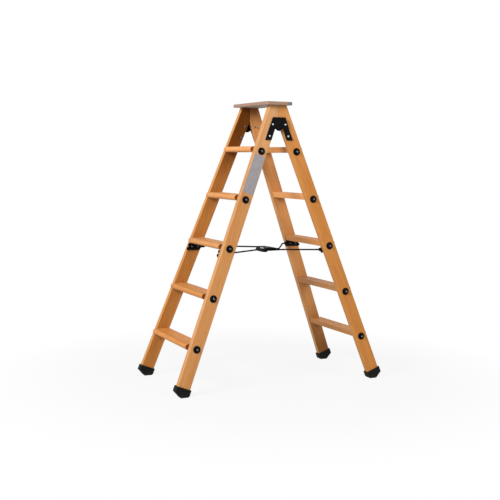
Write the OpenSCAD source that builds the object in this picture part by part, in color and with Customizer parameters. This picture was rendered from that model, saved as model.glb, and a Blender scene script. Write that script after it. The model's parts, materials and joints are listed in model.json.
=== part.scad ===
// Trestle ladder: two wooden frames with treads, hinged at the top under a small platform.
// The frame of reference stands on the floor under the hinge: X along the spread, Y across, Z up.
// The left frame is at -X and the right frame at +X; near is -Y and far is +Y.

/* [Overall] */
// Height of the platform's top above the floor
platform_height = 1495; // [1480:5:1540]
// Lean of each frame from the vertical, in degrees
lean = 21; // [19:0.5:23]
// Splay of each stile in the plane of its frame, in degrees
splay = 3.75; // [3:0.25:4.5]
// Width across the stiles' outer faces at the hinge
hinge_width = 374; // [350:2:400]

/* [Stiles] */
// Depth of a stile, seen from the side
stile_depth = 71; // [66:1:76]
// Thickness of a stile
stile_t = 30; // [26:1:33]
// Gap between the two frames' stiles over the hinge
seam = 1.2; // [0.6:0.2:2]
// Rounding of the stiles' long edges
stile_edge_r = 3; // [1:0.5:4]

/* [Treads] */
// Height of the first tread's top above the floor
first_tread = 261.5; // [240:0.5:275]
// Rise from the last tread to the platform's top
top_rise = 233.5; // [220:0.5:250]
// Thickness of a tread
tread_t = 30; // [26:1:32]
// How far the nose reaches past the stile's front edge
nose = 16; // [8:1:24]
// How far the back edge stays inside the stile's inner edge
tread_recess = 5; // [4:0.5:9]
// Depth that the tread's tongue goes into the stile
housing = 7; // [4:0.5:12]
// Distance of the tongue from the stile's edges
tongue_inset = 9; // [7:0.5:14]
// Width of an anti-slip groove in the tread's top
grip_w = 3; // [2:0.5:4]
// Depth of an anti-slip groove
grip_depth = 1.2; // [0.8:0.1:2]
// Pitch of the anti-slip grooves
grip_pitch = 11; // [8:0.5:13]

/* [Tie rods] */
// Diameter of a tie rod
tie_d = 8; // [6:0.5:9]
// How far a tie rod lies above the underside of its tread
tie_up = 0.9; // [0.6:0.1:2]
// Diameter of a rosette
rosette_d = 39; // [32:1:44]
// Height of a rosette at its crown
rosette_h = 8; // [6:0.5:10]
// Height of a rosette's rim
rosette_rim = 1.8; // [1:0.2:3]
// Diameter of the seat for the nut in the rosette
nut_seat_d = 15; // [14.5:0.5:18]
// Thickness of the rosette under the nut
nut_floor = 3; // [2:0.5:4]
// Size of a cap nut across its flats
nut_flats = 11; // [10.5:0.5:12]
// Height of a cap nut's six-sided part
nut_hex_h = 6; // [5:0.5:7]

/* [Feet] */
// Wall of the rubber boot
foot_wall = 5; // [4:0.5:7]
// Height of the boot, along the stile's middle
foot_height = 51; // [42:1:60]
// Thickness of the sole under the stile
sole_t = 10; // [7:0.5:14]
// Length of the flat sole
sole_length = 44; // [38:1:50]
// Height at which the toe's slope begins
toe_height = 34; // [28:1:40]
// Size of the bevel at the heel
heel_bevel = 6; // [3:0.5:9]
// Width of a groove in the sole
sole_groove_w = 3; // [2:0.5:4]
// Depth of a groove in the sole
sole_groove_depth = 2.5; // [1.5:0.5:4]

/* [Hinge] */
// Distance of the hinge's axis under the platform's top
hinge_drop = 116; // [105:1:125]
// Distance from the stiles' inner edges to the hinge's axis
hinge_gap = 10; // [9:0.5:12]
// Thickness of a leaf
leaf_t = 4; // [3:0.5:5]
// Width of a leaf's leg
leaf_w = 33; // [28:1:38]
// Distance of the leg from the stile's inner edge
leaf_inset = 2; // [1:0.5:4]
// Height of a leaf's flat top above the axis
leaf_top = 35; // [33:0.5:40]
// Depth of a leg's flat end under the axis
leaf_bottom = 84; // [78:1:110]
// Radius of the left leaf's hub, behind
back_hub_r = 32.5; // [28:0.5:33]
// Reach of the left leaf's hub under the axis
hub_drop = 36; // [33.5:0.5:38]
// Radius of the right leaf's hub, in front
front_hub_r = 29; // [24:0.5:30]
// Diameter of the hinge pin
pin_d = 14; // [10:0.5:16]
// Diameter of the hinge pin's outer head
pin_head_d = 24; // [20:0.5:28]
// Height of the hinge pin's heads
pin_head_h = 3.5; // [2.5:0.5:5]
// Diameter of a hinge bolt
bolt_d = 6; // [5:0.5:7]
// Diameter of a hinge bolt's round head
bolt_head_d = 11; // [10:0.5:12]
// Depth of the upper bolts under the axis
upper_bolt_drop = 3; // [1:0.5:6]
// Depth of the lower bolts under the axis
lower_bolt_drop = 63; // [56:1:68]
// Size of a hinge nut across its flats
hinge_nut_flats = 10; // [9:0.5:11]

/* [Platform] */
// Length of the platform along the spread
platform_length = 155; // [145:1:180]
// Shift of the platform towards the left frame
platform_shift = 5; // [0:0.5:8]
// How far the platform reaches past the stiles' outer faces
platform_overhang = 22.5; // [10:0.5:30]
// Thickness of the platform at its edge
platform_t = 17; // [15:0.5:22]
// Thickness of the tray's sheet
sheet_t = 2; // [1.5:0.25:3]
// Radius of the tray's corners, seen from above
corner_r = 14; // [10:1:22]
// Outer radius of the tray's bends
bend_r = 4; // [3.5:0.25:6]
// Diameter of a platform screw
platform_screw_d = 5; // [4:0.5:6]
// Length of a platform screw
platform_screw_l = 65; // [50:1:75]

/* [Brace] */
// Depth of the brace's pivots under the top of the third tread
brace_drop = 47.5; // [45:0.5:52]
// How far the brace's pivots lie outside the stiles' inner edges
ear_out = 5.7; // [5:0.1:8]
// Sag of the brace's middle hinge under its pivots
brace_sag = 11.5; // [10.5:0.5:14]
// Diameter of the brace's rods and wires
brace_rod_d = 8; // [6:0.5:9]
// Distance of the left rods from the latch plate's hooks
hook_margin = 6; // [5.5:0.5:9]
// Length of the latch plate
latch_length = 55; // [45:1:57]
// Distance of the latch plate from the middle hinge
latch_start = 14; // [12:0.5:18]
// Distance of the stop rib from the latch plate's tail
stop_inset = 14; // [10:1:20]
// Thickness of the latch plate and of its hooks
latch_t = 3; // [2:0.5:4]
// Diameter of the middle tube
tube_d = 20; // [16:0.5:21]
// Length of the middle tube
tube_length = 68; // [56:1:72]
// Distance of the wires' bend from the middle hinge
waist_x = 125; // [110:1:140]
// Distance between the right wires at their bend
waist_width = 52; // [40:1:60]
// Thickness of a bracket's plate
bracket_t = 4; // [3:0.5:5]
// Height of a left bracket at the stile's front edge
left_bracket_h = 39; // [34:1:41]
// Height of a right bracket
right_bracket_h = 34; // [30:1:38]
// Reach of a bracket's lobes past the stile's front edge
bracket_lobe = 7; // [4:0.5:9]
// Diameter of an eye on a rod or wire
eye_d = 18; // [16:0.5:19]
// Length of a rod's straight neck at an eye
neck = 16; // [14:0.5:20]
// Radius of the rods' and wires' bends, at their middle line
brace_bend_r = 16; // [12:1:18]
// Diameter of a bracket screw's head
screw_head_d = 9; // [8:0.5:10]
// Diameter of a bracket screw
screw_d = 4; // [3:0.5:5]
// Length of a bracket screw in the wood
screw_l = 18; // [14:1:20]

/* [Clearances] */
// Gap round wood joints, bolts and other fixed fits
fit = 0.1; // [0.05:0.05:0.2]
// Radial gap of a turning pin
run_fit = 0.05; // [0.02:0.01:0.1]
// Gap between pieces that move past each other
swing_gap = 0.4; // [0.3:0.05:0.8]

/* [Hidden] */
$fn = 48;

FRAMES = ["left", "right"];
SIDES = ["near", "far"];
TREADS = [1, 2, 3, 4, 5];
// The tread that the brace's brackets sit under
BRACE_TREAD = 3;

WOOD = [0.80, 0.55, 0.32];
BLACK_STEEL = [0.08, 0.08, 0.09];
BLACK_RUBBER = [0.14, 0.14, 0.13];
ZINC = [0.76, 0.77, 0.78];
SHEET = [0.66, 0.64, 0.62];
BOARD = [0.55, 0.54, 0.52];

frame_nodes = ["stile_near", "stile_far", "tread_1", "tread_2", "tread_3", "tread_4", "tread_5",
    "tie_rods", "rosettes", "cap_nuts", "foot_near", "foot_far", "hinge_leaf_near", "hinge_leaf_far",
    "hinge_bolts", "hinge_nuts", "brace_bracket_near", "brace_bracket_far", "bracket_screws", "brace_rivets"];

// Heights, and distances across a stile counted from the hinge's axis
pivot_z = platform_height - hinge_drop;
platform_under = platform_height - platform_t;
platform_width = hinge_width + 2 * platform_overhang;
stile_top = platform_under - swing_gap;
edge_in = -hinge_gap;
edge_out = -(hinge_gap + stile_depth);
middle = -(hinge_gap + stile_depth / 2);
// A stile's thickness measured along Y
face_t = stile_t / cos(splay);
// A length that passes every piece
reach = 2 * platform_height;

// Distance along the stile at which a line at a distance across it is at height z
function along(across, z) = (z - pivot_z + across * sin(lean)) / cos(lean);
// Place along X of that point, on the left frame
function x_on(across, z) = across * cos(lean) + along(across, z) * sin(lean);
// Point in X and Z at a distance across and a distance along the left frame
function frame_point(across, s) =
    [across * cos(lean) + s * sin(lean), pivot_z - across * sin(lean) + s * cos(lean)];
// Places of the stiles' outer and inner faces along Y
function outer_y(s) = hinge_width / 2 - s * tan(splay);
function inner_y(s) = outer_y(s) - face_t;

tread_rise = (platform_height - top_rise - first_tread) / (len(TREADS) - 1);
function tread_top(k) = first_tread + (k - 1) * tread_rise;
function tie_z(k) = tread_top(k) - tread_t + tie_d / 2 + tie_up;
function tie_x(k) = x_on(middle, tie_z(k));

// Brace: pivots on the brackets, middle hinge, and places across
brace_z = tread_top(BRACE_TREAD) - brace_drop;
brace_across = edge_in + ear_out;
brace_x = x_on(brace_across, brace_z);
brace_s = along(brace_across, brace_z);
brace_hinge_z = brace_z - brace_sag;
brace_rod_r = brace_rod_d / 2;
eye_t = brace_rod_d + 1;
// A tilted plate's face moves this much along Y over an eye
eye_tilt = tan(splay) * eye_d / 2;
eye_y = inner_y(brace_s) - bracket_t - eye_tilt - swing_gap - eye_t / 2;
rivet_r = brace_rod_r;
// Slant of the wires at the middle, and an eye there that is thick enough for it
wire_slant = (tube_length / 2 + eye_t - waist_width / 2) / waist_x;
wire_eye_t = eye_t + eye_d * wire_slant;
wire_eye_y = tube_length / 2 + fit + wire_eye_t / 2;
hook_y = wire_eye_y + wire_eye_t / 2 + swing_gap;
hook_t = latch_t + 1;
latch_width = 2 * (hook_y + hook_t + hook_margin);
pin_end_y = hook_y + hook_t + swing_gap + latch_t;

// Hinge: leaf levels along Y, where the leaves turn from the stile's face to the hub
back_bend_s = -(hub_drop + leaf_t);
back_level = outer_y(back_bend_s);
front_level = back_level + leaf_t + swing_gap;
front_low_s = -(hub_drop + 3 * leaf_t);
front_high_s = front_low_s + 2 * leaf_t;
leaf_in = edge_in - leaf_inset;
leaf_out = leaf_in - leaf_w;
leaf_mid = (leaf_in + leaf_out) / 2;
// The upper bolts lie on a circle that is clear of both hubs
upper_bolt_r = max(front_hub_r + bolt_head_d / 2, back_hub_r + bolt_d / 2) + 1.5 * swing_gap;
upper_bolt_out = sqrt(pow(upper_bolt_r, 2) - pow(upper_bolt_drop, 2)) * cos(lean)
    - upper_bolt_drop * sin(lean);

// Mirrors a left far piece to its own frame and side
module placed(frame, side) {
    mirror([frame == "right" ? 1 : 0, 0, 0])
        mirror([0, side == "near" ? 1 : 0, 0])
            children();
}

// Axes of the left frame: across, width and along, from the middle of the hinge
module frame_axes() {
    translate([0, 0, pivot_z])
        rotate([0, lean, 0])
            children();
}

// Axes of the left far stile: the outer face is at y = 0
module stile_axes() {
    frame_axes()
        translate([0, hinge_width / 2, 0])
            rotate([splay, 0, 0])
                children();
}

// Extrudes an outline in X and Z along the whole width
module across_width() {
    rotate([90, 0, 0])
        linear_extrude(reach, center = true)
            children();
}

// Extrudes an outline in width and length along the frame's depth
module through_depth() {
    frame_axes()
        rotate([90, 0, 90])
            linear_extrude(reach, center = true)
                children();
}

// Cylinder along Y from y0 to y1
module along_y(x, z, y0, y1, d) {
    translate([x, y0, z])
        rotate([-90, 0, 0])
            cylinder(d = d, h = y1 - y0);
}

// Round bar between two points
module bar(from, to, d) {
    run = to - from;
    flat = norm([run[0], run[1]]);
    translate(from)
        rotate([0, atan2(flat, run[2]), atan2(run[1], run[0])])
            cylinder(d = d, h = norm(run));
}

// Thickness of a bar at its bends, as a share of its diameter, and how far the straight runs reach into a bend
bend_swell = 1.05;
bend_lap = 1;
function unit(v) = v / norm(v);
// Angle of the bend at b on the way from a to c, and its length along each straight run
function turn(a, b, c) = acos(unit(b - a) * unit(c - b));
function ease(a, b, c) = brace_bend_r * tan(turn(a, b, c) / 2);

// Bend at b on the way from a to c
module elbow(a, b, c, d) {
    ahead = unit(b - a);
    next = unit(c - b);
    inward = unit(next - (ahead * next) * ahead);
    normal = cross(ahead, inward);
    centre = b - ease(a, b, c) * ahead + brace_bend_r * inward;
    multmatrix([for (i = [0 : 2]) [-inward[i], ahead[i], normal[i], centre[i]]])
        rotate_extrude(angle = turn(a, b, c))
            translate([brace_bend_r, 0])
                circle(d = d * bend_swell);
}

// Round bar through a list of points, bent to a radius at each corner
module bent_bar(points, d) {
    last = len(points) - 1;
    for (i = [1 : last]) {
        run = unit(points[i] - points[i - 1]);
        skip_from = i == 1 ? 0 : ease(points[i - 2], points[i - 1], points[i]) - bend_lap;
        skip_to = i == last ? 0 : ease(points[i - 1], points[i], points[i + 1]) - bend_lap;
        bar(points[i - 1] + skip_from * run, points[i] - skip_to * run, d);
    }
    for (i = [1 : last - 1])
        elbow(points[i - 1], points[i], points[i + 1], d);
}

module rounded_rect(size, r) {
    translate([r, 0]) square([size[0] - 2 * r, size[1]]);
    translate([0, r]) square([size[0], size[1] - 2 * r]);
    for (x = [r, size[0] - r])
        for (y = [r, size[1] - r])
            translate([x, y]) circle(r);
}

// Space between the two stiles' inner faces, reaching into them by a depth
module between_stiles(into) {
    s_low = along(middle, -sole_t);
    s_high = along(middle, platform_height);
    through_depth()
        polygon([[-inner_y(s_low) - into, s_low], [inner_y(s_low) + into, s_low],
                 [inner_y(s_high) + into, s_high], [-inner_y(s_high) - into, s_high]]);
}

// Layer on the far outer face, between two distances from it
module face_layer(low, high) {
    s_low = along(middle, -sole_t) - stile_depth;
    s_high = along(middle, platform_height);
    through_depth()
        polygon([[outer_y(s_low) + low, s_low], [outer_y(s_low) + high, s_low],
                 [outer_y(s_high) + high, s_high], [outer_y(s_high) + low, s_high]]);
}

// A stile's board, square at its foot, grown by a clearance
module stile_board(grow) {
    s_low = along(edge_in, sole_t) / cos(splay) - grow;
    s_high = along(edge_in, platform_height) / cos(splay);
    stile_axes()
        translate([edge_out - grow, -stile_t - grow, s_low])
            linear_extrude(s_high - s_low)
                rounded_rect([stile_depth + 2 * grow, stile_t + 2 * grow], stile_edge_r + grow);
}

// Outline of a tread's tongue, which is housed in the stiles
module tongue_outline(k, grow) {
    top = tread_top(k) + grow;
    under = tread_top(k) - tread_t - grow;
    front = edge_out + tongue_inset - grow;
    back = edge_in - tongue_inset + grow;
    polygon([[x_on(front, under), under], [x_on(back, under), under],
             [x_on(back, top), top], [x_on(front, top), top]]);
}

// Outline of a tread between the stiles, with its rounded nose
module tread_outline(k) {
    top = tread_top(k);
    under = top - tread_t;
    nose_r = tread_t / 2;
    nose_x = x_on(edge_out, under + nose_r) - nose + nose_r;
    back = edge_in - tread_recess;
    polygon([[nose_x, under], [x_on(back, under), under], [x_on(back, top), top], [nose_x, top]]);
    translate([nose_x, under + nose_r]) circle(nose_r);
}

// Groove under a tread for its tie rod
module tie_groove_outline(k) {
    d = tie_d + 2 * fit;
    translate([tie_x(k), tie_z(k)]) circle(d = d);
    translate([tie_x(k) - d / 2, tie_z(k) - tread_t]) square([d, tread_t]);
}

// Anti-slip grooves in a tread's top
module grip_outline(k) {
    first_x = x_on(edge_out, tread_top(k)) + grip_pitch / 2;
    for (i = [0 : 4])
        translate([first_x + i * grip_pitch, tread_top(k) - grip_depth])
            square([grip_w, 2 * grip_depth]);
}

module tread(frame, k) {
    color(WOOD)
        placed(frame, "far") {
            intersection() {
                across_width()
                    difference() {
                        tread_outline(k);
                        tie_groove_outline(k);
                        grip_outline(k);
                    }
                between_stiles(-fit);
            }
            intersection() {
                across_width()
                    difference() {
                        tongue_outline(k, 0);
                        tie_groove_outline(k);
                        grip_outline(k);
                    }
                between_stiles(housing);
            }
        }
}

// Everything that is cut out of a stile for its treads and tie rods
module tread_cuts() {
    intersection() {
        across_width()
            for (k = TREADS)
                tongue_outline(k, fit);
        between_stiles(housing + fit);
    }
    for (k = TREADS)
        along_y(tie_x(k), tie_z(k), 0, hinge_width, tie_d + 2 * fit);
}

// Places of the two hinge bolts of a leaf, on the stile's own axes
function bolt_across(drop) = drop == upper_bolt_drop ? -upper_bolt_out : leaf_mid;
function bolt_s(drop) = along(bolt_across(drop), pivot_z - drop) / cos(splay);

// Places of a bracket's two screws, as distances across the stile
function screw_across(i) = middle + (i == 0 ? -stile_depth / 4 : stile_depth / 5);
function screw_z(i) = brace_z + (i == 0 ? 0 : 1);

module bracket_screw_cuts() {
    for (i = [0, 1])
        stile_axes()
            translate([screw_across(i), -stile_t, along(screw_across(i), screw_z(i)) / cos(splay)])
                rotate([-90, 0, 0])
                    cylinder(d = screw_d + 2 * fit, h = screw_l + 2 * fit);
}

// Places of the platform's screws in the left stiles' top ends
platform_screw_y = (outer_y(along(middle, stile_top)) + inner_y(along(middle, stile_top))) / 2;
platform_screw_xs = [-stile_depth / 5, -stile_depth / 2];
screw_head_h = platform_screw_d / 2;

module platform_screw(grow) {
    top = platform_height + grow;
    for (x = platform_screw_xs)
        translate([x, platform_screw_y, 0]) {
            translate([0, 0, top - platform_screw_l - 2 * grow])
                cylinder(d = platform_screw_d + 2 * grow, h = platform_screw_l);
            translate([0, 0, platform_height - screw_head_h - grow])
                cylinder(d1 = platform_screw_d + 2 * grow, d2 = 2 * platform_screw_d + 2 * grow,
                         h = screw_head_h + 2 * grow);
        }
}

module stile(frame, side) {
    color(WOOD)
        placed(frame, side)
            difference() {
                intersection() {
                    stile_board(0);
                    translate([-reach, -reach, 0])
                        cube([reach - seam / 2, 2 * reach, stile_top]);
                }
                tread_cuts();
                for (drop = [upper_bolt_drop, lower_bolt_drop])
                    stile_axes()
                        translate([bolt_across(drop), -2 * stile_t, bolt_s(drop)])
                            rotate([-90, 0, 0])
                                cylinder(d = bolt_d + 2 * fit, h = 3 * stile_t);
                bracket_screw_cuts();
                if (frame == "left")
                    platform_screw(fit);
            }
}

module tie_rods(frame) {
    color(ZINC)
        placed(frame, "far")
            for (k = TREADS) {
                end = outer_y(along(middle, tie_z(k))) + nut_floor + nut_hex_h;
                along_y(tie_x(k), tie_z(k), -end, end, tie_d);
            }
}

// Domed round washer on its own axis, seated at z = 0
module rosette() {
    crown = rosette_h - rosette_rim;
    dome_r = (pow(rosette_d / 2, 2) + crown * crown) / (2 * crown);
    difference() {
        intersection() {
            cylinder(d = rosette_d, h = rosette_h);
            translate([0, 0, rosette_h - dome_r]) sphere(dome_r);
        }
        translate([0, 0, nut_floor]) cylinder(d = nut_seat_d, h = rosette_h);
        translate([0, 0, -rosette_h]) cylinder(d = tie_d + nut_floor / 2, h = 3 * rosette_h);
    }
}

module rosettes(frame) {
    color(BLACK_STEEL)
        for (side = SIDES)
            placed(frame, side)
                for (k = TREADS)
                    stile_axes()
                        translate([middle, fit, along(middle, tie_z(k)) / cos(splay)])
                            rotate([-90, 0, 0])
                                rosette();
}

module cap_nuts(frame) {
    nut_r = nut_flats / sqrt(3);
    tilt_gap = tan(splay) * nut_r;
    dome_d = 0.9 * nut_flats;
    color(ZINC)
        for (side = SIDES)
            placed(frame, side)
                for (k = TREADS)
                    translate([tie_x(k), outer_y(along(middle, tie_z(k))) + nut_floor + fit + tilt_gap, tie_z(k)])
                        rotate([-90, 0, 0])
                            difference() {
                                union() {
                                    cylinder(r = nut_r, h = nut_hex_h, $fn = 6);
                                    translate([0, 0, nut_hex_h]) cylinder(d = dome_d, h = 1);
                                    translate([0, 0, nut_hex_h + 1])
                                        intersection() {
                                            sphere(d = dome_d);
                                            cylinder(d = dome_d, h = dome_d);
                                        }
                                }
                                translate([0, 0, -1]) cylinder(d = tie_d + 2 * fit, h = nut_hex_h + 2);
                            }
}

// Side outline of a rubber boot
module foot_outline() {
    front = edge_out - foot_wall;
    back = edge_in + foot_wall;
    s_top = along(middle, 0) + foot_height;
    back_x = x_on(back, 0);
    polygon([frame_point(front, s_top), [x_on(front, toe_height), toe_height],
             [back_x - sole_length, 0], [back_x - heel_bevel, 0],
             [x_on(back, heel_bevel), heel_bevel], frame_point(back, s_top)]);
}

module foot(frame, side) {
    wall = foot_wall / cos(splay);
    back_x = x_on(edge_in + foot_wall, 0);
    groove_pitch = (sole_length - heel_bevel) / 4;
    color(BLACK_RUBBER)
        placed(frame, side)
            difference() {
                intersection() {
                    across_width() foot_outline();
                    face_layer(-face_t - wall, wall);
                }
                stile_board(fit);
                for (i = [1 : 3])
                    translate([back_x - heel_bevel - i * groove_pitch - sole_groove_w / 2, 0, -sole_groove_depth])
                        cube([sole_groove_w, reach, 2 * sole_groove_depth]);
            }
}

// Leg of a hinge leaf, cut level at both ends
module leaf_leg_outline() {
    top = pivot_z + leaf_top;
    under = pivot_z - leaf_bottom;
    polygon([[x_on(leaf_in, under), under], [x_on(leaf_out, under), under],
             [x_on(leaf_out, top), top], [x_on(leaf_in, top), top]]);
}

// Hub of a leaf, round the axis, with a lobe below on the one behind
module hub(frame) {
    lobe_r = back_hub_r * 0.6;
    along_y(0, pivot_z, 0, hinge_width, 2 * (frame == "left" ? back_hub_r : front_hub_r));
    if (frame == "left")
        along_y(0, pivot_z + lobe_r - hub_drop, 0, hinge_width, 2 * lobe_r);
}

// Bent sheet of a leaf: on the stile's face below, square to the axis at the hub
module leaf_sheet(frame) {
    s_low = along(leaf_mid, pivot_z - 2 * leaf_bottom);
    s_high = 2 * leaf_top;
    path = frame == "left"
        ? [[outer_y(s_low), s_low], [back_level, back_bend_s], [back_level, s_high]]
        : [[outer_y(s_low), s_low], [outer_y(front_low_s), front_low_s],
           [front_level, front_high_s], [front_level, s_high]];
    last = len(path) - 1;
    through_depth()
        translate([fit, 0])
            polygon(concat(path, [for (i = [last : -1 : 0]) path[i] + [leaf_t, 0]]));
}

module hinge_leaf(frame, side) {
    color(BLACK_STEEL)
        placed(frame, side)
            difference() {
                intersection() {
                    union() {
                        across_width() leaf_leg_outline();
                        hub(frame);
                    }
                    leaf_sheet(frame);
                }
                along_y(0, pivot_z, 0, hinge_width, pin_d + 2 * run_fit);
                for (drop = [upper_bolt_drop, lower_bolt_drop])
                    stile_axes()
                        translate([bolt_across(drop), -stile_t, bolt_s(drop)])
                            rotate([-90, 0, 0])
                                cylinder(d = bolt_d + 2 * fit, h = 3 * stile_t);
            }
}

// Distance from the stile's face to the leaf's outside at a bolt
function bolt_seat(frame, drop) =
    let (s = along(bolt_across(drop), pivot_z - drop),
         level = frame == "left" ? back_level : front_level,
         tilt = tan(splay) * bolt_head_d / 2)
    drop == lower_bolt_drop
        ? leaf_t / cos(splay) + 2 * fit
        : (level - outer_y(s) + leaf_t) * cos(splay) + tilt + 2 * fit;

nut_h = bolt_d * 0.8;
washer_t = 1.2;

module hinge_bolts(frame) {
    color(ZINC)
        for (side = SIDES)
            placed(frame, side)
                for (drop = [upper_bolt_drop, lower_bolt_drop])
                    stile_axes()
                        translate([bolt_across(drop), 0, bolt_s(drop)])
                            rotate([-90, 0, 0]) {
                                seat = bolt_seat(frame, drop);
                                tail = stile_t + washer_t + nut_h + bolt_d / 2;
                                translate([0, 0, -tail]) cylinder(d = bolt_d, h = tail + seat);
                                translate([0, 0, seat])
                                    intersection() {
                                        cylinder(d = bolt_head_d, h = bolt_head_d / 3);
                                        translate([0, 0, -bolt_head_d / 4]) sphere(bolt_head_d * 0.59);
                                    }
                            }
}

module hinge_nuts(frame) {
    color(ZINC)
        for (side = SIDES)
            placed(frame, side)
                for (drop = [upper_bolt_drop, lower_bolt_drop])
                    stile_axes()
                        translate([bolt_across(drop), -stile_t - fit, bolt_s(drop)])
                            rotate([90, 0, 0])
                                difference() {
                                    union() {
                                        cylinder(d = 2 * bolt_d, h = washer_t);
                                        cylinder(r = hinge_nut_flats / sqrt(3), h = washer_t + nut_h, $fn = 6);
                                    }
                                    translate([0, 0, -1])
                                        cylinder(d = bolt_d + 2 * fit, h = washer_t + nut_h + 2);
                                }
}

// Rivet through both leaves, with a flat inner head and a domed outer one
module hinge_pins() {
    inner_head_r = hinge_gap - 1;
    outer_seat = front_level + fit + leaf_t + swing_gap;
    inner_seat = back_level + fit - swing_gap;
    dome_r = pin_head_d * 0.75;
    color(BLACK_STEEL)
        for (side = SIDES)
            placed("left", side) {
                along_y(0, pivot_z, inner_seat - pin_head_h, inner_seat, 2 * inner_head_r);
                along_y(0, pivot_z, inner_seat, outer_seat, pin_d);
                intersection() {
                    along_y(0, pivot_z, outer_seat, outer_seat + pin_head_h, pin_head_d);
                    translate([0, outer_seat + pin_head_h - dome_r, pivot_z]) sphere(dome_r);
                }
            }
}

// Outline of a folded edge, seen along the edge, from the corner's centre outwards
module folded_edge_outline(out, high, r) {
    square([out - r, high]);
    square([out, high - r]);
    translate([out - r, high - r])
        intersection() {
            circle(r);
            square(r);
        }
}

module edge_section() {
    difference() {
        folded_edge_outline(corner_r, platform_t, bend_r);
        translate([-1, -1])
            folded_edge_outline(corner_r - sheet_t + 1, platform_t - sheet_t + 1, bend_r - sheet_t);
    }
}

// Sheet tray: four folded edges, four round corners and the flat top
module platform_tray() {
    half_l = platform_length / 2 - corner_r;
    half_w = platform_width / 2 - corner_r;
    color(SHEET)
        difference() {
            translate([-platform_shift, 0, platform_under]) {
                translate([-half_l, -half_w, platform_t - sheet_t]) cube([2 * half_l, 2 * half_w, sheet_t]);
                for (turn = [0, 180]) {
                    rotate([0, 0, turn])
                        translate([half_l, half_w, 0])
                            rotate([90, 0, 0])
                                linear_extrude(2 * half_w) edge_section();
                    rotate([0, 0, turn + 90])
                        translate([half_w, half_l, 0])
                            rotate([90, 0, 0])
                                linear_extrude(2 * half_l) edge_section();
                }
                for (x = [-1, 1])
                    for (y = [-1, 1])
                        translate([x * half_l, y * half_w, 0])
                            rotate([0, 0, x > 0 ? (y > 0 ? 0 : -90) : (y > 0 ? 90 : 180)])
                                rotate_extrude(angle = 90) edge_section();
            }
            for (side = SIDES)
                placed("left", side) platform_screw(fit);
        }
}

// Board inside the tray, which rests on the stiles
module platform_board() {
    inset = sheet_t + bend_r / 3;
    size = [platform_length - 2 * inset, platform_width - 2 * inset];
    color(BOARD)
        difference() {
            translate([-size[0] / 2 - platform_shift, -size[1] / 2, platform_under])
                linear_extrude(platform_t - sheet_t - 2 * fit - bend_r / 20)
                    rounded_rect(size, corner_r - inset);
            for (side = SIDES)
                placed("left", side) platform_screw(fit);
        }
}

module platform_screws() {
    color(ZINC)
        for (side = SIDES)
            placed("left", side) platform_screw(0);
}

// Outline of a bracket: an ear round the pivot, a plate on the stile and two lobes at its front edge
module bracket_outline(frame) {
    top = tread_top(BRACE_TREAD) - tread_t - swing_gap;
    front_h = frame == "left" ? left_bracket_h : right_bracket_h;
    under = top - front_h;
    front_top = x_on(edge_out, top);
    front_under = x_on(edge_out, under);
    ear_r = eye_d / 2;
    ear_top = frame == "left" ? brace_z + ear_r * 0.9 : top;
    ear_under = frame == "left" ? brace_z - ear_r * 0.8 : under;
    back_x = x_on(edge_in, brace_z);
    lobe_r = front_h / 4;
    translate([brace_x, brace_z]) circle(ear_r);
    polygon([[front_under, under], [x_on(edge_in, under) - stile_depth / 8, under], [back_x, ear_under],
             [brace_x, ear_under], [brace_x, ear_top], [front_top, top]]);
    for (z = [top - lobe_r, under + lobe_r])
        translate([x_on(edge_out, z) - bracket_lobe + lobe_r, z]) circle(lobe_r);
}

module brace_bracket(frame, side) {
    color(BLACK_STEEL)
        placed(frame, side)
            difference() {
                intersection() {
                    across_width() bracket_outline(frame);
                    face_layer(-face_t - fit - bracket_t, -face_t - fit);
                }
                along_y(brace_x, brace_z, 0, hinge_width, 2 * rivet_r + 2 * fit);
                for (i = [0, 1])
                    stile_axes()
                        translate([screw_across(i), -2 * stile_t, along(screw_across(i), screw_z(i)) / cos(splay)])
                            rotate([-90, 0, 0])
                                cylinder(d = screw_d + 2 * fit, h = 2 * stile_t);
            }
}

module bracket_screws(frame) {
    seat = -stile_t - fit - bracket_t - fit;
    dome_r = screw_head_d * 0.7;
    head_h = screw_head_d / 3;
    color(ZINC)
        for (side = SIDES)
            placed(frame, side)
                for (i = [0, 1])
                    stile_axes()
                        translate([screw_across(i), seat, along(screw_across(i), screw_z(i)) / cos(splay)])
                            rotate([90, 0, 0]) {
                                translate([0, 0, seat + stile_t - screw_l])
                                    cylinder(d = screw_d, h = screw_l - seat - stile_t);
                                intersection() {
                                    cylinder(d = screw_head_d, h = head_h);
                                    translate([0, 0, head_h - dome_r]) sphere(dome_r);
                                }
                            }
}

// Rivets through the brackets' ears, which carry the brace's eyes
module brace_rivets(frame) {
    head_t = 2.5;
    inner_seat = eye_y - eye_t / 2 - swing_gap;
    outer_seat = inner_y(brace_s) + eye_tilt + fit;
    color(BLACK_STEEL)
        for (side = SIDES)
            placed(frame, side) {
                along_y(brace_x, brace_z, inner_seat - head_t, outer_seat + head_t, 2 * rivet_r);
                along_y(brace_x, brace_z, inner_seat - head_t, inner_seat, eye_d * 0.8);
                along_y(brace_x, brace_z, outer_seat, outer_seat + head_t, 2 * (ear_out - swing_gap));
            }
}

// Rod of the left brace: an eye at the bracket, a straight run and a short end beside the latch plate
module brace_rod(side) {
    start = [brace_x, eye_y, brace_z];
    bend = [latch_start - brace_rod_d, latch_width / 2, brace_z];
    rod_end = [latch_start + latch_length - stop_inset, latch_width / 2, brace_z];
    color(BLACK_STEEL)
        placed("left", side)
            difference() {
                union() {
                    along_y(brace_x, brace_z, eye_y - eye_t / 2, eye_y + eye_t / 2, eye_d);
                    bent_bar([start, start + [neck + brace_rod_d, 0, 0], bend, rod_end], brace_rod_d);
                }
                along_y(brace_x, brace_z, eye_y - eye_t, eye_y + eye_t, 2 * rivet_r + 2 * run_fit);
            }
}

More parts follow.
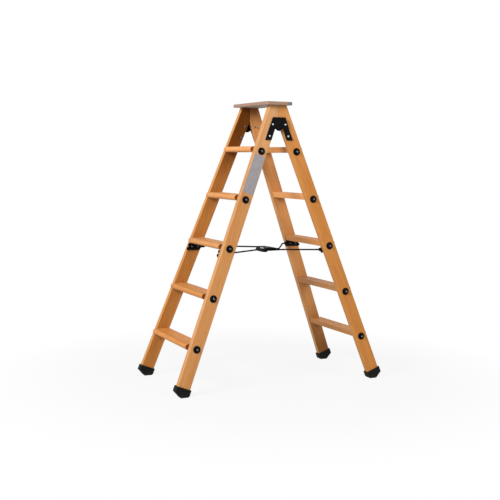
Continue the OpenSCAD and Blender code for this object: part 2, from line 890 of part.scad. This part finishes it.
// Outline of a latch hook: it holds the pin from the right and is open to the left
module hook_outline() {
    slot_r = rivet_r + swing_gap;
    hook_r = slot_r + latch_t + 1;
    difference() {
        union() {
            translate([-hook_r / 2, brace_hinge_z - hook_r]) square([latch_start + hook_r / 2, 2 * hook_r]);
            translate([-hook_r / 2, brace_hinge_z])
                square([latch_start + hook_r, brace_z + latch_t / 2 - brace_hinge_z]);
        }
        translate([0, brace_hinge_z]) circle(slot_r);
        translate([-2 * hook_r, brace_hinge_z - slot_r]) square([2 * hook_r, 2 * slot_r]);
    }
}

// Latch plate between the left rods, with a folded stop and two hooks for the pin
module brace_plate() {
    half_w = latch_width / 2;
    stop_z = brace_hinge_z + brace_rod_r + swing_gap;
    color(BLACK_STEEL)
        difference() {
            union() {
                translate([latch_start, -half_w, brace_z - latch_t / 2]) cube([latch_length, 2 * half_w, latch_t]);
                translate([latch_start + latch_length - stop_inset - latch_t, -half_w, stop_z])
                    cube([latch_t, 2 * half_w, brace_z - stop_z]);
                for (side = SIDES)
                    placed("left", side)
                        intersection() {
                            across_width() hook_outline();
                            translate([-reach, hook_y, 0]) cube([2 * reach, hook_t, reach]);
                        }
            }
            for (side = SIDES)
                placed("left", side)
                    bar([0, half_w, brace_z], [latch_start + 2 * latch_length, half_w, brace_z], brace_rod_d + 2 * fit);
        }
}

// Wire of the right brace: an eye at the bracket, a bend at the waist and an eye on the middle pin
module brace_wire(side) {
    start = [brace_x, eye_y, brace_z];
    waist = [-waist_x, waist_width / 2, brace_hinge_z];
    end = [0, wire_eye_y, brace_hinge_z];
    color(BLACK_STEEL)
        placed("right", side)
            difference() {
                union() {
                    along_y(brace_x, brace_z, eye_y - eye_t / 2, eye_y + eye_t / 2, eye_d);
                    along_y(0, brace_hinge_z, wire_eye_y - wire_eye_t / 2, wire_eye_y + wire_eye_t / 2, eye_d);
                    bent_bar([start, start + [neck + brace_rod_d, 0, 0], waist, end], brace_rod_d);
                }
                along_y(brace_x, brace_z, eye_y - eye_t, eye_y + eye_t, 2 * rivet_r + 2 * run_fit);
                along_y(0, brace_hinge_z, 0, latch_width, 2 * rivet_r + 2 * fit);
            }
}

module brace_tube() {
    color(BLACK_STEEL)
        difference() {
            along_y(0, brace_hinge_z, -tube_length / 2, tube_length / 2, tube_d);
            along_y(0, brace_hinge_z, -tube_length, tube_length, 2 * rivet_r + 2 * fit);
        }
}

// Pin through the middle tube and the wires' eyes, with a head past each hook
module brace_pin() {
    head_start = pin_end_y - latch_t;
    color(BLACK_STEEL) {
        along_y(0, brace_hinge_z, -head_start, head_start, 2 * rivet_r);
        for (side = SIDES)
            placed("left", side)
                along_y(0, brace_hinge_z, head_start, pin_end_y, 3 * rivet_r);
    }
}

for (frame = FRAMES) {
    for (side = SIDES) {
        stile(frame, side);
        foot(frame, side);
        hinge_leaf(frame, side);
        brace_bracket(frame, side);
    }
    for (k = TREADS)
        tread(frame, k);
    tie_rods(frame);
    rosettes(frame);
    cap_nuts(frame);
    hinge_bolts(frame);
    hinge_nuts(frame);
    bracket_screws(frame);
    brace_rivets(frame);
}
for (side = SIDES) {
    brace_rod(side);
    brace_wire(side);
}
hinge_pins();
platform_tray();
platform_board();
platform_screws();
brace_plate();  // left_brace_plate
brace_tube();  // right_brace_tube
brace_pin();  // right_brace_pin
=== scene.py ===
"""Looks of the trestle ladder: materials, a bare label, a pale floor, studio light and the camera."""
import json
import math

import bmesh
import bpy
from mathutils import Matrix, Vector


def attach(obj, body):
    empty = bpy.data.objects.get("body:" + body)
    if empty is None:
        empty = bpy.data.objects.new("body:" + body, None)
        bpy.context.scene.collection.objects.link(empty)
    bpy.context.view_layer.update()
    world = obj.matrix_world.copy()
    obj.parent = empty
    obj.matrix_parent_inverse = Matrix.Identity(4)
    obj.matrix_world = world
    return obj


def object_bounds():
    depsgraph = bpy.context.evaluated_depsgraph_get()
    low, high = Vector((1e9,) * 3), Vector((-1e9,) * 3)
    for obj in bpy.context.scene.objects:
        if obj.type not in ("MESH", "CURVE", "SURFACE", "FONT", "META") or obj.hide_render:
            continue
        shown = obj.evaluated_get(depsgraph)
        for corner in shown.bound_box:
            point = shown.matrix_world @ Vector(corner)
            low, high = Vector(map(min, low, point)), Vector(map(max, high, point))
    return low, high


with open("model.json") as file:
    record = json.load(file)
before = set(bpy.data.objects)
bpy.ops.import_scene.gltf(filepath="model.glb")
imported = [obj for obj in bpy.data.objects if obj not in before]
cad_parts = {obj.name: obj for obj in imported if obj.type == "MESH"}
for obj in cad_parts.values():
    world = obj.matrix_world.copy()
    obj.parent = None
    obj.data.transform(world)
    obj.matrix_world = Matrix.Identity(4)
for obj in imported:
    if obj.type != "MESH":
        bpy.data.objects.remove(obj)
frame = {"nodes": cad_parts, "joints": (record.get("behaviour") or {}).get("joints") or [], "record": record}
cad_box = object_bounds()
nodes = frame["nodes"]

# Shape of the frames, in metres and radians, as in the model
FRAMES = ("left", "right")
LEAN = math.radians(21)
SPLAY = math.radians(3.75)
HINGE_Z = frame["joints"][0]["pos_m"][2]
LADDER_HEIGHT = cad_box[1][2]
HINGE_HALF_WIDTH = 0.187
STILE_DEPTH = 0.071
HINGE_GAP = 0.010

# Camera, solved from the photograph
VIEW_AZIMUTH = math.radians(-25.89)
VIEW_ELEVATION = math.radians(5.533)
VIEW_ROLL = math.radians(0.704)
VIEW_TARGET = Vector((-0.06618, 0.0, 0.70305))
VIEW_DISTANCE = 5.1112
IMAGE_WIDTH = 500
FOCAL_PIXELS = 939.7
SENSOR = 36.0
CLIP_END = 100

# Sockets of the Mix node: its share and two colours, and its result
MIX_INPUTS = (0, 6, 7)
MIX_RESULT = 2

# Edges: samples of the rounded normal, and its cosine with the true one on flat faces and on sharp edges
BEVEL_SAMPLES = 4
FLAT_COSINE = 0.995
EDGE_COSINE = 0.80


def linear(red, green, blue):
    """Colour for a shader socket from the usual 0 to 255 values."""
    def channel(value):
        share = value / 255
        return share / 12.92 if share <= 0.04045 else ((share + 0.055) / 1.055) ** 2.4
    return (channel(red), channel(green), channel(blue), 1.0)


class Graph:
    """A material's node tree, with short calls for the nodes used here."""

    def __init__(self, name):
        self.material = bpy.data.materials.new(name)
        self.material.use_nodes = True
        self.tree = self.material.node_tree
        self.shader = self.tree.nodes["Principled BSDF"]
        self.output = self.tree.nodes["Material Output"]

    def add(self, kind, **settings):
        node = self.tree.nodes.new(kind)
        for key, value in settings.items():
            setattr(node, key, value)
        return node

    def link(self, source, target):
        self.tree.links.new(source, target)

    def feed(self, sockets, values):
        """Gives each socket a number, a colour or a link."""
        for socket, value in zip(sockets, values):
            if isinstance(value, (int, float, tuple)):
                socket.default_value = value
            else:
                self.link(value, socket)

    def set(self, **values):
        """Sets sockets of the main shader, with spaces for underscores."""
        for key, value in values.items():
            self.shader.inputs[key.replace("_", " ")].default_value = value

    def place(self, scale=(1, 1, 1), rotation=(0, 0, 0), offset=(0, 0, 0)):
        """Object coordinates, turned and then stretched."""
        source = self.add("ShaderNodeTexCoord").outputs["Object"]
        turn = self.add("ShaderNodeMapping")
        turn.inputs["Rotation"].default_value = rotation
        turn.inputs["Location"].default_value = offset
        self.link(source, turn.inputs["Vector"])
        stretch = self.add("ShaderNodeMapping")
        stretch.inputs["Scale"].default_value = scale
        self.link(turn.outputs["Vector"], stretch.inputs["Vector"])
        return stretch.outputs["Vector"]

    def part_of(self, vector, axis):
        node = self.add("ShaderNodeSeparateXYZ")
        self.link(vector, node.inputs["Vector"])
        return node.outputs[axis]

    def position(self, axis):
        """Object coordinate along an axis."""
        return self.part_of(self.add("ShaderNodeTexCoord").outputs["Object"], axis)

    def normal(self, axis):
        """Part of the face's normal along an axis."""
        return self.part_of(self.add("ShaderNodeNewGeometry").outputs["Normal"], axis)

    def noise(self, vector, scale, detail=3.0, roughness=0.5, distortion=0.0):
        node = self.add("ShaderNodeTexNoise")
        self.link(vector, node.inputs["Vector"])
        node.inputs["Scale"].default_value = scale
        node.inputs["Detail"].default_value = detail
        node.inputs["Roughness"].default_value = roughness
        node.inputs["Distortion"].default_value = distortion
        return node.outputs["Fac"]

    def bands(self, vector, scale, distortion, detail, detail_scale):
        node = self.add("ShaderNodeTexWave", wave_type="BANDS", bands_direction="DIAGONAL")
        self.link(vector, node.inputs["Vector"])
        node.inputs["Scale"].default_value = scale
        node.inputs["Distortion"].default_value = distortion
        node.inputs["Detail"].default_value = detail
        node.inputs["Detail Scale"].default_value = detail_scale
        return node.outputs["Fac"]

    def remap(self, value, low, high, to_low=0.0, to_high=1.0):
        node = self.add("ShaderNodeMapRange", clamp=True)
        self.link(value, node.inputs["Value"])
        node.inputs["From Min"].default_value = low
        node.inputs["From Max"].default_value = high
        node.inputs["To Min"].default_value = to_low
        node.inputs["To Max"].default_value = to_high
        return node.outputs["Result"]

    def math(self, operation, first, second):
        node = self.add("ShaderNodeMath", operation=operation)
        self.feed(node.inputs, (first, second))
        return node.outputs["Value"]

    def times(self, first, second):
        return self.math("MULTIPLY", first, second)

    def unsigned(self, value):
        """The value without its sign."""
        return self.math("ABSOLUTE", value, 0)

    def ramp(self, value, stops):
        """Colours at places from 0 to 1."""
        node = self.add("ShaderNodeValToRGB")
        elements = node.color_ramp.elements
        while len(elements) < len(stops):
            elements.new(0.5)
        for element, (place, colour) in zip(elements, stops):
            element.position = place
            element.color = colour
        self.link(value, node.inputs["Fac"])
        return node.outputs["Color"]

    def mix(self, share, first, second, blend="MIX"):
        node = self.add("ShaderNodeMix", data_type="RGBA", blend_type=blend)
        self.feed([node.inputs[place] for place in MIX_INPUTS], (share, first, second))
        return node.outputs[MIX_RESULT]

    def tint(self, colour, shares):
        return self.mix(1.0, colour, shares, blend="MULTIPLY")

    def rounded(self, radius):
        """Normal as if edges had a radius."""
        bevel = self.add("ShaderNodeBevel", samples=BEVEL_SAMPLES)
        bevel.inputs["Radius"].default_value = radius
        return bevel.outputs["Normal"]

    def edges(self, radius):
        """Share from 0 on flat faces to 1 on sharp edges."""
        dot = self.add("ShaderNodeVectorMath", operation="DOT_PRODUCT")
        self.link(self.rounded(radius), dot.inputs[0])
        self.link(self.add("ShaderNodeNewGeometry").outputs["Normal"], dot.inputs[1])
        return self.remap(dot.outputs["Value"], FLAT_COSINE, EDGE_COSINE)

    def bump(self, height, strength, distance, radius=0.0):
        """Relief on the surface, with edges rounded by a radius if there is one."""
        node = self.add("ShaderNodeBump")
        node.inputs["Strength"].default_value = strength
        node.inputs["Distance"].default_value = distance
        self.link(height, node.inputs["Height"])
        if radius:
            self.link(self.rounded(radius), node.inputs["Normal"])
        self.link(node.outputs["Normal"], self.shader.inputs["Normal"])

    def colour(self, source):
        self.link(source, self.shader.inputs["Base Color"])

    def roughness(self, source):
        self.link(source, self.shader.inputs["Roughness"])


# Wood: its colours, and tints as shares of red, green and blue
WOOD_LIGHT = linear(212, 147, 84)
WOOD_MIDDLE = linear(201, 137, 76)
WOOD_DARK = linear(188, 121, 60)
WOOD_PORE = linear(158, 90, 34)
WOOD_WORN = linear(226, 167, 104)
WOOD_END = linear(122, 62, 18)
# Painted shade on the stiles' inner faces, as shares of red, green and blue
INNER_SHADE_TINT = (0.25, 0.17, 0.02, 1.0)
# Painted light: shares that make the stiles' upper outer faces paler
LIT_TOP_TINT = (1.1, 1.2, 1.48, 1.0)
# Painted sheen on the stiles' narrow faces, which are made less red and paler
NARROW_SHEEN_TINT = (0.88, 1.0, 1.22, 1.0)
# Stretch of the fine and broad grain, which runs along Z before it is turned, and the step between boards
FINE_GRAIN = (1, 1, 0.03)
BROAD_GRAIN = (1, 1, 0.08)
BOARD_STEP = (0.37, 0.21, 1.7)
# Parts of the normal along Y between which a face comes to count as inner, narrow or end face
INNER_FACING = (0.55, 0.9)
NARROW_FACING = (0.5, 0.2)
END_FACING = (0.7, 0.95)


def stile_faces(graph, base, inward, shade_shares, lit_heights):
    """Colour of a stile's faces, where inward is the way along Y to the ladder's inside.

    The face that looks there is darkened by painted shade, by a share that the given shade shares set at
    some heights. The opposite face grows paler between two given heights, as painted light, and the
    narrow faces are less red, as a painted sheen.
    """
    across = graph.normal("Y")
    height = graph.position("Z")
    stops = [(place / LADDER_HEIGHT, (share, share, share, 1.0)) for place, share in shade_shares]
    shade_share = graph.ramp(graph.remap(height, 0.0, LADDER_HEIGHT), stops)
    # Painted shade: the inner faces darken by a share that changes with height
    painted_shade = graph.mix(shade_share, base, graph.tint(base, INNER_SHADE_TINT))
    # Painted light: the outer faces grow paler towards the top
    paler = graph.mix(graph.remap(height, *lit_heights), base, graph.tint(base, LIT_TOP_TINT))
    inner = graph.remap(graph.times(across, inward), *INNER_FACING)
    narrow = graph.remap(graph.unsigned(across), *NARROW_FACING)
    # Painted sheen: the narrow faces are less red
    return graph.mix(narrow, graph.mix(inner, paler, painted_shade), graph.tint(base, NARROW_SHEEN_TINT))


def tread_ends(graph, base):
    """Colour of a tread, with dark end grain."""
    end_grain = graph.remap(graph.unsigned(graph.normal("Y")), *END_FACING)
    return graph.mix(end_grain, base, WOOD_END)


def wood(name, grain, board, shade, tone, stile=None):
    """Varnished wood with its grain along a direction. Each board has its own stretch of it, shade and tone.

    For a stile, stile holds what stile_faces needs. Other boards are treads.
    """
    graph = Graph(name)
    turn = Vector(grain).rotation_difference(Vector((0, 0, 1))).to_euler()
    shift = tuple(step * board for step in BOARD_STEP)
    broad = graph.place(scale=BROAD_GRAIN, rotation=turn, offset=shift)
    figure = graph.noise(broad, scale=26, detail=4, roughness=0.55, distortion=0.5)
    lines = graph.bands(broad, scale=48, distortion=7, detail=3, detail_scale=1.1)
    fine = graph.place(scale=FINE_GRAIN, rotation=turn, offset=shift)
    pores = graph.noise(fine, scale=900, detail=2, roughness=0.6)
    patch = graph.noise(graph.place(rotation=turn, offset=shift), scale=3.0, detail=1)
    grain_tone = graph.math("ADD", graph.times(figure, 0.8), graph.times(lines, 0.2))
    figured = graph.ramp(grain_tone, ((0.25, WOOD_DARK), (0.52, WOOD_MIDDLE), (0.8, WOOD_LIGHT)))
    pored = graph.mix(graph.remap(pores, 0.57, 0.72, 0.0, 0.3), figured, WOOD_PORE)
    varied = graph.mix(graph.remap(patch, 0.35, 0.7, 0.0, 0.15), pored, WOOD_DARK)
    faced = stile_faces(graph, varied, *stile) if stile else tread_ends(graph, varied)
    worn = graph.times(graph.edges(0.003), graph.remap(patch, 0.4, 0.6, 0.2, 0.6))
    board_tint = tuple(tone * share for share in shade) + (1.0,)
    graph.colour(graph.tint(graph.mix(worn, faced, WOOD_WORN), board_tint))
    graph.roughness(graph.remap(pores, 0.3, 0.8, 0.42, 0.58))
    relief = graph.math("ADD", graph.times(pores, -0.6), lines)
    graph.bump(relief, strength=0.2, distance=0.0004, radius=0.0012)
    graph.set(Coat_Weight=0.03, Coat_Roughness=0.25, Specular_IOR_Level=0.12)
    return graph.material


def black_steel():
    """Black powder coat, a little rubbed along its edges."""
    graph = Graph("black_steel")
    grain = graph.noise(graph.place(), scale=1400, detail=2)
    smudge = graph.noise(graph.place(), scale=35, detail=4)
    base = graph.mix(smudge, linear(3, 3, 3), linear(9, 9, 9))
    worn = graph.times(graph.edges(0.0012), graph.remap(smudge, 0.45, 0.7, 0.1, 0.7))
    graph.colour(graph.mix(worn, base, linear(60, 59, 58)))
    graph.roughness(graph.remap(smudge, 0.3, 0.7, 0.42, 0.58))
    graph.bump(grain, strength=0.25, distance=0.0003, radius=0.0008)
    graph.set(Specular_IOR_Level=0.06)
    return graph.material


def black_plastic():
    """Moulded black plastic with a fine eroded grain."""
    graph = Graph("black_plastic")
    grain = graph.noise(graph.place(), scale=2200, detail=3, roughness=0.6)
    smudge = graph.noise(graph.place(), scale=60, detail=3)
    base = graph.mix(smudge, linear(3, 3, 3), linear(8, 8, 8))
    graph.colour(graph.mix(graph.times(graph.edges(0.0008), 0.35), base, linear(30, 30, 31)))
    graph.roughness(graph.remap(grain, 0.3, 0.7, 0.38, 0.5))
    graph.bump(grain, strength=0.2, distance=0.0002, radius=0.0006)
    graph.set(Specular_IOR_Level=0.05)
    return graph.material


# Height up to which dust lies on the rubber, in metres
DUST_HEIGHT = 0.03


def rubber():
    """Moulded rubber, dusty towards the floor."""
    graph = Graph("rubber")
    grain = graph.noise(graph.place(), scale=1100, detail=4, roughness=0.65)
    dust = graph.noise(graph.place(), scale=90, detail=5, roughness=0.7)
    low = graph.remap(graph.position("Z"), DUST_HEIGHT, 0.0)
    dusty = graph.times(low, graph.remap(dust, 0.45, 0.7, 0.0, 0.25))
    base = graph.mix(dust, linear(13, 14, 13), linear(21, 21, 20))
    worn = graph.mix(graph.times(graph.edges(0.002), 0.5), base, linear(44, 43, 41))
    graph.colour(graph.mix(dusty, worn, linear(84, 81, 75)))
    graph.roughness(graph.remap(grain, 0.3, 0.7, 0.6, 0.78))
    graph.bump(grain, strength=0.35, distance=0.0004, radius=0.0015)
    graph.set(Specular_IOR_Level=0.1)
    return graph.material


def zinc(name, light, dark, gloss=(0.2, 0.38)):
    """Zinc plate with a faint spangle, between two colours and two values of roughness."""
    graph = Graph(name)
    spangle = graph.add("ShaderNodeTexVoronoi")
    graph.link(graph.place(), spangle.inputs["Vector"])
    spangle.inputs["Scale"].default_value = 700
    smudge = graph.noise(graph.place(), scale=120, detail=3)
    graph.colour(graph.mix(smudge, light, dark))
    graph.roughness(graph.remap(spangle.outputs["Distance"], 0.0, 0.8, *gloss))
    graph.bump(smudge, strength=0.1, distance=0.0002, radius=0.0005)
    graph.set(Metallic=1.0)
    return graph.material


# Places along X between which the tray's skirt turns from the painted reflection of the wood to a darker
# grey of painted shade, in metres
SKIRT_SHADE_X = (0.038, 0.05)
# Parts of the normal along Z between which the tray's skirt turns to its top
TOP_FACING = (0.3, 0.9)


def sheet_metal():
    """Mill-finish aluminium, drawn along the platform's width.

    Its skirts carry a warm tint, a painted reflection of the wood, apart from the right one, which
    is bare of the reflection and darkened to grey as painted shade.
    """
    graph = Graph("sheet_metal")
    drawn = graph.noise(graph.place(scale=(1, 0.015, 1)), scale=1500, detail=2)
    smudge = graph.noise(graph.place(), scale=14, detail=4)
    # Painted reflection of the wood: a warm tint on the skirts
    wood_reflection = graph.mix(smudge, linear(160, 126, 105), linear(144, 116, 98))
    # Painted shade: the right end of the skirt turns a darker grey, without the reflection
    skirt = graph.mix(graph.remap(graph.position("X"), *SKIRT_SHADE_X), wood_reflection, linear(112, 108, 106))
    top = graph.mix(smudge, linear(168, 166, 163), linear(150, 148, 146))
    base = graph.mix(graph.remap(graph.normal("Z"), *TOP_FACING), skirt, top)
    graph.colour(graph.mix(graph.times(graph.edges(0.002), 0.3), base, linear(180, 164, 150)))
    graph.roughness(graph.remap(drawn, 0.3, 0.7, 0.45, 0.6))
    graph.bump(drawn, strength=0.05, distance=0.0002, radius=0.001)
    graph.set(Metallic=0.15, Specular_IOR_Level=0.2)
    return graph.material


def plywood():
    """Sealed grey plywood with its grain along the platform's width."""
    graph = Graph("plywood")
    grain = graph.noise(graph.place(scale=(1, 0.04, 1)), scale=120, detail=4, roughness=0.6)
    graph.colour(graph.ramp(grain, ((0.3, linear(150, 146, 140)), (0.7, linear(182, 178, 172)))))
    graph.roughness(graph.remap(grain, 0.3, 0.7, 0.5, 0.7))
    graph.bump(grain, strength=0.3, distance=0.0005)
    return graph.material


def label_film():
    """Pale satin film, a little scuffed."""
    graph = Graph("label_film")
    scuff = graph.noise(graph.place(scale=(1, 1, 0.3)), scale=160, detail=5, roughness=0.65)
    graph.colour(graph.ramp(scuff, ((0.3, linear(126, 121, 124)), (0.62, linear(150, 144, 147)))))
    graph.roughness(graph.remap(scuff, 0.3, 0.7, 0.3, 0.5))
    graph.bump(scuff, strength=0.1, distance=0.0002)
    return graph.material


def set_material(node, material):
    mesh = nodes[node].data
    mesh.materials.clear()
    mesh.materials.append(material)


# Shades of wood, as shares of red, green and blue
PALE = (1.0, 1.06, 1.22)
PLAIN = (1.0, 1.0, 1.0)
DEEP = (1.0, 0.94, 0.76)
# Shade and tone of each board, treads from the lowest up. They are partly each board's own colour and partly
# painted light, set to how brightly each board was lit
STILE_WOOD = {"left_stile_near": (PALE, 0.98), "left_stile_far": (DEEP, 1.04),
              "right_stile_near": (DEEP, 0.97), "right_stile_far": (PALE, 1.05)}
TREAD_WOOD = {"left": ((DEEP, 0.95), (DEEP, 0.87), (PALE, 0.94), (PALE, 1.03), (PALE, 1.15)),
              "right": ((PLAIN, 0.83), (PALE, 0.77), (PLAIN, 1.0), (PALE, 1.22), (PLAIN, 0.95))}
# Share of the painted shade on a frame's inner faces, at some heights in metres
INNER_SHADE_SHARES = {"left": ((0.85, 0.32), (1.08, 0.45), (1.2, 0.8), (1.35, 1.0)),
                "right": ((0.1, 0.8), (0.36, 0.0), (1.36, 0.0), (1.47, 0.75))}
# Heights in metres between which a frame's outer faces grow paler towards the top, as painted light
LIT_TOP_HEIGHTS = {"left": (1.0, 1.3), "right": (1.3, 1.42)}


def stile_direction(towards_hinge, inward):
    """Direction of a stile, upwards: the way along X to the hinge and along Y to the ladder's inside."""
    up = math.cos(SPLAY)
    return Vector((towards_hinge * math.sin(LEAN) * up, inward * math.sin(SPLAY), math.cos(LEAN) * up))


def dress_wood():
    """Wood on the stiles, with its grain along each of them, and on the treads, with its grain along Y."""
    board = 0
    for frame_name, towards_hinge in zip(FRAMES, (1, -1)):
        for side, inward in (("near", 1), ("far", -1)):
            board += 1
            stile = f"{frame_name}_stile_{side}"
            faces = (inward, INNER_SHADE_SHARES[frame_name], LIT_TOP_HEIGHTS[frame_name])
            grain = stile_direction(towards_hinge, inward)
            set_material(stile, wood(f"{stile}_wood", grain, board, *STILE_WOOD[stile], faces))
        for number, (shade, tone) in enumerate(TREAD_WOOD[frame_name], start=1):
            board += 1
            tread = f"{frame_name}_tread_{number}"
            set_material(tread, wood(f"{tread}_wood", (0, 1, 0), board, shade, tone))


def dress_other_parts():
    """Each part's finish by its slot, with darker zinc on small nuts and screws."""
    finishes = {
        "black_steel": black_steel(),
        "black_plastic": black_plastic(),
        "rubber": rubber(),
        "zinc": zinc("zinc", linear(190, 192, 196), linear(158, 161, 166)),
        "sheet": sheet_metal(),
        "plywood": plywood(),
    }
    for part in frame["record"]["subparts"]:
        if part["material_slot"] != "wood":
            set_material(part["node"], finishes[part["material_slot"]])
    dull_zinc = zinc("dull_zinc", linear(106, 108, 112), linear(78, 80, 84))
    cap_zinc = zinc("cap_zinc", linear(106, 108, 112), linear(82, 84, 88), gloss=(0.14, 0.24))
    for frame_name in FRAMES:
        set_material(f"{frame_name}_cap_nuts", cap_zinc)
        for small in ("hinge_nuts", "bracket_screws"):
            set_material(f"{frame_name}_{small}", dull_zinc)


dress_wood()
dress_other_parts()


# Bare label on the near left stile, between the upper two rosettes
LABEL_WIDTH = 0.063
LABEL_LENGTH = 0.212
LABEL_THICKNESS = 0.0003
LABEL_CORNER = 0.004
LABEL_Z = 1.117
LABEL_LIFT = 0.00005
# Share of the label's thickness up to which its rim stands straight
LABEL_RIM = 0.6


def on_near_left_stile(across, along):
    """Point on the stile's outer face, at a distance across it and along it from the hinge's axis."""
    x = across * math.cos(LEAN) + along * math.sin(LEAN)
    z = HINGE_Z - across * math.sin(LEAN) + along * math.cos(LEAN)
    return Vector((x, along * math.tan(SPLAY) - HINGE_HALF_WIDTH, z))


def rounded_outline(width, length, corner, steps=6):
    """Points round a rectangle with round corners, about its middle."""
    points = []
    for quarter in range(4):
        start = quarter * math.pi / 2
        sign_x = 1 if quarter in (0, 3) else -1
        sign_y = 1 if quarter in (0, 1) else -1
        for step in range(steps + 1):
            angle = start + step / steps * math.pi / 2
            points.append((sign_x * (width / 2 - corner) + corner * math.cos(angle),
                           sign_y * (length / 2 - corner) + corner * math.sin(angle)))
    return points


def bare_label():
    across = -(HINGE_GAP + STILE_DEPTH / 2)
    along = (LABEL_Z - HINGE_Z + across * math.sin(LEAN)) / math.cos(LEAN)
    origin = on_near_left_stile(across, along)
    side_axis = (on_near_left_stile(across + 1, along) - origin).normalized()
    up_axis = (on_near_left_stile(across, along + 1) - origin).normalized()
    out_axis = side_axis.cross(up_axis)
    # Lower rim, upper rim and a slightly smaller top make a soft edge
    rings = ((0.0, 0.0), (0.0, LABEL_THICKNESS * LABEL_RIM), (LABEL_THICKNESS, LABEL_THICKNESS))
    mesh_data = bmesh.new()
    loops = []
    for inset, height in rings:
        outline = rounded_outline(LABEL_WIDTH - 2 * inset, LABEL_LENGTH - 2 * inset, LABEL_CORNER - inset)
        lift = out_axis * (LABEL_LIFT + height)
        points = [origin + side_axis * u + up_axis * v + lift for u, v in outline]
        loops.append([mesh_data.verts.new(point) for point in points])
    count = len(loops[0])
    for lower, upper in zip(loops, loops[1:]):
        for i in range(count):
            after = (i + 1) % count
            mesh_data.faces.new((lower[i], lower[after], upper[after], upper[i]))
    mesh_data.faces.new(loops[-1])
    mesh_data.faces.new(list(reversed(loops[0])))
    bmesh.ops.recalc_face_normals(mesh_data, faces=mesh_data.faces)
    mesh = bpy.data.meshes.new("bare_label")
    mesh_data.to_mesh(mesh)
    mesh_data.free()
    label = bpy.data.objects.new("bare_label", mesh)
    bpy.context.scene.collection.objects.link(label)
    mesh.materials.append(label_film())
    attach(label, "left_frame")


bare_label()


# Floor, which is plain white to the camera away from the ladder and keeps a soft shadow under it
FLOOR_SIZE = 16.0
FLOOR_DROP = 0.0005
FLOOR_GREY = linear(190, 190, 190)
SHADOW_SHARE = 0.12
SHADOW_NEAR = 0.9
SHADOW_FAR = 1.6


def seen_directly(tree):
    """1 for rays from the camera, in mirrors and through glass."""
    path = tree.nodes.new("ShaderNodeLightPath")
    seen = path.outputs["Is Camera Ray"]
    for kind in ("Is Glossy Ray", "Is Transmission Ray"):
        larger = tree.nodes.new("ShaderNodeMath")
        larger.operation = "MAXIMUM"
        tree.links.new(seen, larger.inputs[0])
        tree.links.new(path.outputs[kind], larger.inputs[1])
        seen = larger.outputs["Value"]
    return seen


def floor():
    graph = Graph("floor")
    graph.set(Roughness=0.9, Specular_IOR_Level=0.0, Base_Color=FLOOR_GREY)
    white = graph.add("ShaderNodeEmission")
    white.inputs["Strength"].default_value = 1.0
    distance = graph.add("ShaderNodeVectorMath", operation="LENGTH")
    graph.link(graph.add("ShaderNodeTexCoord").outputs["Object"], distance.inputs[0])
    fade = graph.remap(distance.outputs["Value"], SHADOW_NEAR, SHADOW_FAR, SHADOW_SHARE, 0.0)
    pale = graph.add("ShaderNodeMixShader")
    graph.link(fade, pale.inputs["Fac"])
    graph.link(white.outputs["Emission"], pale.inputs[1])
    graph.link(graph.shader.outputs["BSDF"], pale.inputs[2])
    choice = graph.add("ShaderNodeMixShader")
    graph.link(seen_directly(graph.tree), choice.inputs["Fac"])
    graph.link(graph.shader.outputs["BSDF"], choice.inputs[1])
    graph.link(pale.outputs["Shader"], choice.inputs[2])
    graph.link(choice.outputs["Shader"], graph.output.inputs["Surface"])
    bpy.ops.mesh.primitive_plane_add(size=FLOOR_SIZE, location=(0, 0, -FLOOR_DROP))
    plane = bpy.context.object
    plane.name = "floor"
    plane.data.materials.append(graph.material)


floor()


# Light, in metres and watts: a soft key from the left front, fills from the right and behind, and a surround
KEY = {"place": (-4.4, -1.7, 3.4), "size": 2.2, "power": 310}
FILL = {"place": (2.0, -4.6, 3.6), "size": 3.0, "power": 108}
BEHIND = {"place": (5.2, 2.4, 2.4), "size": 3.0, "power": 80}
LIGHT_TARGET = Vector((0, 0, 0.75))
SURROUND_LIGHT = 0.36


def area_light(name, place, size, power):
    data = bpy.data.lights.new(name, "AREA")
    data.shape = "DISK"
    data.size = size
    data.energy = power
    lamp = bpy.data.objects.new(name, data)
    lamp.location = place
    lamp.rotation_euler = (LIGHT_TARGET - Vector(place)).to_track_quat("-Z", "Y").to_euler()
    bpy.context.scene.collection.objects.link(lamp)


def surround():
    """Even light from all round, which is plain white where it is seen."""
    world = bpy.data.worlds.new("surround")
    bpy.context.scene.world = world
    world.use_nodes = True
    tree = world.node_tree
    background = tree.nodes["Background"]
    background.inputs["Color"].default_value = (1, 1, 1, 1)
    strength = tree.nodes.new("ShaderNodeMapRange")
    strength.inputs["To Min"].default_value = SURROUND_LIGHT
    strength.inputs["To Max"].default_value = 1.0
    tree.links.new(seen_directly(tree), strength.inputs["Value"])
    tree.links.new(strength.outputs["Result"], background.inputs["Strength"])


area_light("key", **KEY)
area_light("fill", **FILL)
area_light("behind", **BEHIND)
surround()


def camera():
    back = Vector((math.sin(VIEW_AZIMUTH) * math.cos(VIEW_ELEVATION),
                   -math.cos(VIEW_AZIMUTH) * math.cos(VIEW_ELEVATION),
                   math.sin(VIEW_ELEVATION)))
    level = Vector((math.cos(VIEW_AZIMUTH), math.sin(VIEW_AZIMUTH), 0))
    upright = back.cross(level)
    right = level * math.cos(VIEW_ROLL) + upright * math.sin(VIEW_ROLL)
    up = upright * math.cos(VIEW_ROLL) - level * math.sin(VIEW_ROLL)
    data = bpy.data.cameras.new("camera")
    data.sensor_width = SENSOR
    data.lens = FOCAL_PIXELS / IMAGE_WIDTH * SENSOR
    data.clip_end = CLIP_END
    eye = bpy.data.objects.new("camera", data)
    bpy.context.scene.collection.objects.link(eye)
    turn = Matrix((right, up, back)).transposed().to_4x4()
    eye.matrix_world = Matrix.Translation(VIEW_TARGET + back * VIEW_DISTANCE) @ turn
    bpy.context.scene.camera = eye


camera()
bpy.context.scene.view_settings.view_transform = "Standard"
